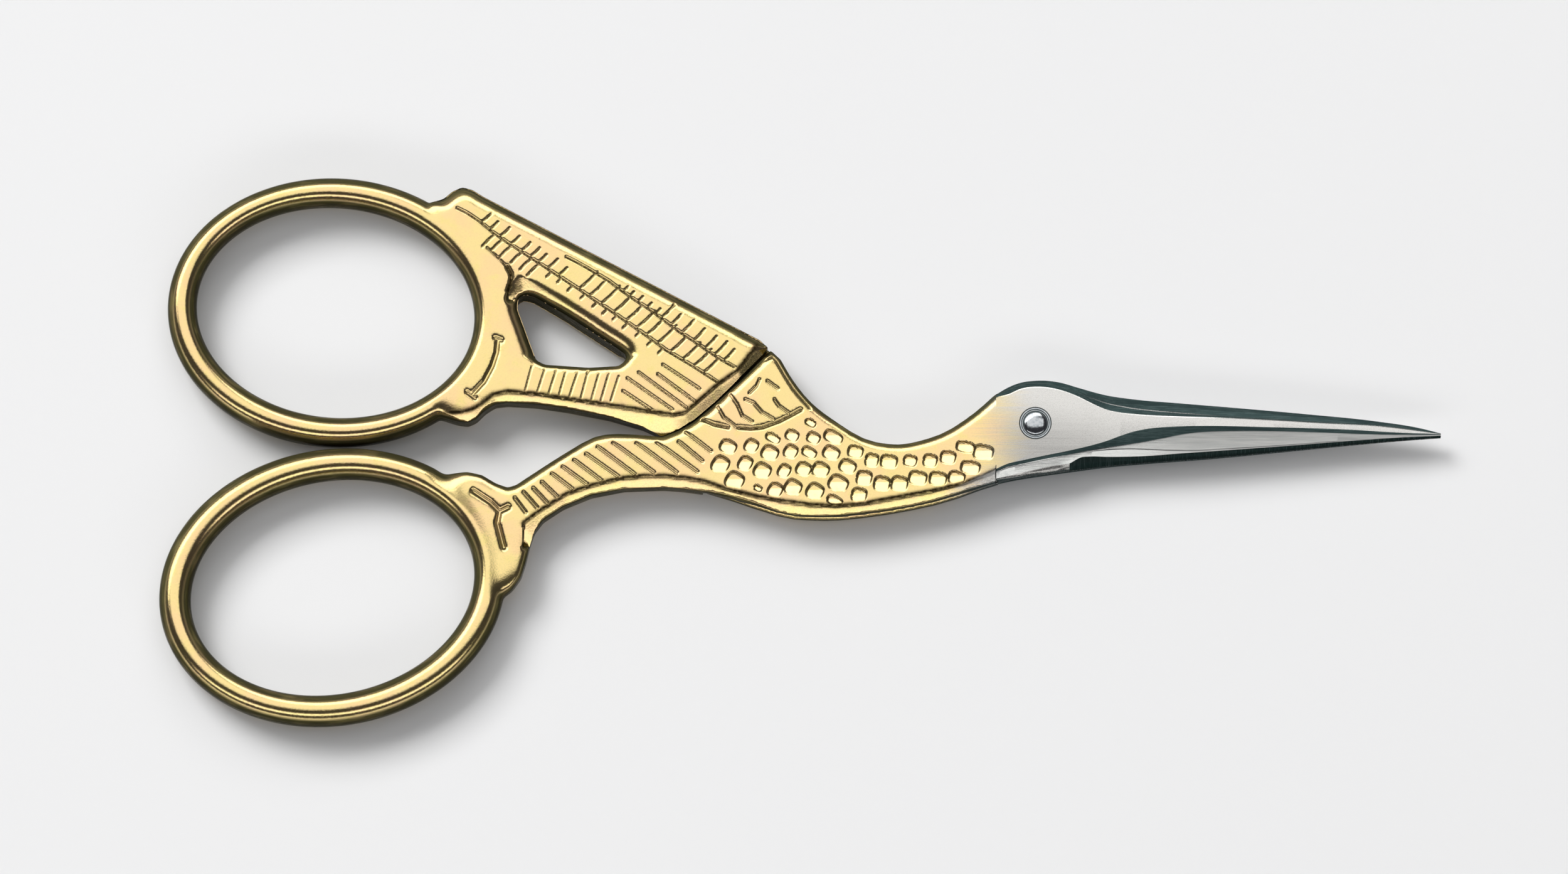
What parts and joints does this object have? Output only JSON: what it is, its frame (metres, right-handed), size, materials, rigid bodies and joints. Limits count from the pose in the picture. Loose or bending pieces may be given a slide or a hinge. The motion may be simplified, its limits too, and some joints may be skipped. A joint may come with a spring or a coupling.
{
  "type": "embroidery scissors",
  "caption": "Small gilt embroidery scissors in the shape of a standing stork, with steel blades as its beak and a domed pivot pin as its eye.",
  "frame": {"origin": "on the pivot axis, at the back of the pin's head, in the plane that the closed scissors rest on", "axes": "+X to the tips of the blades, +Y to the wing and the upper finger loop, +Z out of the face that shows the domed end of the pin"},
  "size_m": [0.0902, 0.0389, 0.0036],
  "materials": {
    "gilt": "thin polished gilding over forged steel, worn off to bare steel on the blades",
    "steel": "finely ground and polished bare steel"
  },
  "bodies": {
    "front": {"front_half": "gilt", "pivot_pin": "steel"},
    "back": {"back_half": "gilt"}
  },
  "joints": [
    {"name": "pivot", "type": "hinge", "parent": "front", "child": "back", "pos_m": [0, 0, 0], "axis": [0, 0, -1], "range_deg": [0, 60]}
  ]
}
